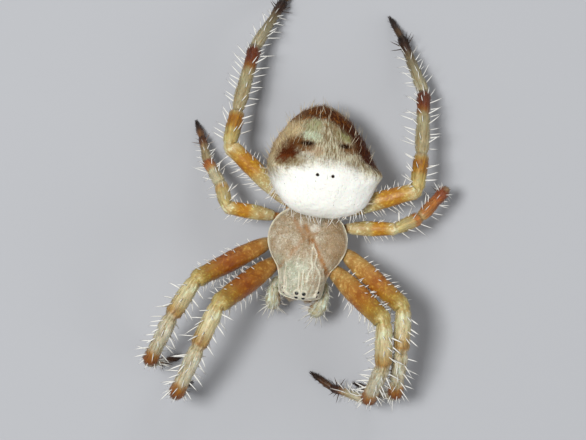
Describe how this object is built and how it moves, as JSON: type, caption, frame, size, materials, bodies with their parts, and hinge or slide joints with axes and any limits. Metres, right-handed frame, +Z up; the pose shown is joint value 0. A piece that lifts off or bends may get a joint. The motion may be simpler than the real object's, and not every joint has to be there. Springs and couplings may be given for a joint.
{
  "type": "orb weaver spider model",
  "caption": "Still, life-size cat-faced orb weaver spider, cream and brown with bristly banded legs, standing on its tarsus tips.",
  "frame": {"origin": "on the floor plane, under the middle of the whole spider's box", "axes": "+Y towards the rear of the abdomen, along the carapace; -Y towards the face; +X towards the spider's left side; +Z up, through the back"},
  "size_m": [0.0196, 0.0306, 0.0093],
  "materials": {
    "carapace": "finely haired brown-grey cuticle",
    "sternum": "satin brown cuticle",
    "abdomen": "soft cream, tan and red-brown skin with short hairs",
    "spinnerets": "dark brown cuticle",
    "jaw": "smooth brown cuticle",
    "fang": "polished near-black",
    "palp": "pale yellow cuticle with bristles",
    "eye": "glossy black lens",
    "femur": "waxy orange-brown cuticle with bristles",
    "patella": "cream cuticle with an orange-brown band",
    "tibia": "cream cuticle with a dark end and bristles",
    "metatarsus": "cream cuticle with a dark end and bristles",
    "tarsus": "dark red-brown cuticle"
  },
  "bodies": {
    "root": {"carapace": "carapace", "sternum": "sternum", "pedicel": "sternum", "abdomen": "abdomen", "spinnerets": "spinnerets", "chelicera_left": "jaw", "fang_left": "fang", "palp_left": "palp", "eye_median_front_left": "eye", "eye_median_rear_left": "eye", "eye_side_front_left": "eye", "eye_side_rear_left": "eye", "leg_left_1_femur": "femur", "leg_left_1_patella": "patella", "leg_left_1_tibia": "tibia", "leg_left_1_metatarsus": "metatarsus", "leg_left_1_tarsus": "tarsus", "leg_left_2_femur": "femur", "leg_left_2_patella": "patella", "leg_left_2_tibia": "tibia", "leg_left_2_metatarsus": "metatarsus", "leg_left_2_tarsus": "tarsus", "leg_left_3_femur": "femur", "leg_left_3_patella": "patella", "leg_left_3_tibia": "tibia", "leg_left_3_metatarsus": "metatarsus", "leg_left_3_tarsus": "tarsus", "leg_left_4_femur": "femur", "leg_left_4_patella": "patella", "leg_left_4_tibia": "tibia", "leg_left_4_metatarsus": "metatarsus", "leg_left_4_tarsus": "tarsus", "chelicera_right": "jaw", "fang_right": "fang", "palp_right": "palp", "eye_median_front_right": "eye", "eye_median_rear_right": "eye", "eye_side_front_right": "eye", "eye_side_rear_right": "eye", "leg_right_1_femur": "femur", "leg_right_1_patella": "patella", "leg_right_1_tibia": "tibia", "leg_right_1_metatarsus": "metatarsus", "leg_right_1_tarsus": "tarsus", "leg_right_2_femur": "femur", "leg_right_2_patella": "patella", "leg_right_2_tibia": "tibia", "leg_right_2_metatarsus": "metatarsus", "leg_right_2_tarsus": "tarsus", "leg_right_3_femur": "femur", "leg_right_3_patella": "patella", "leg_right_3_tibia": "tibia", "leg_right_3_metatarsus": "metatarsus", "leg_right_3_tarsus": "tarsus", "leg_right_4_femur": "femur", "leg_right_4_patella": "patella", "leg_right_4_tibia": "tibia", "leg_right_4_metatarsus": "metatarsus", "leg_right_4_tarsus": "tarsus"}
  },
  "joints": []
}
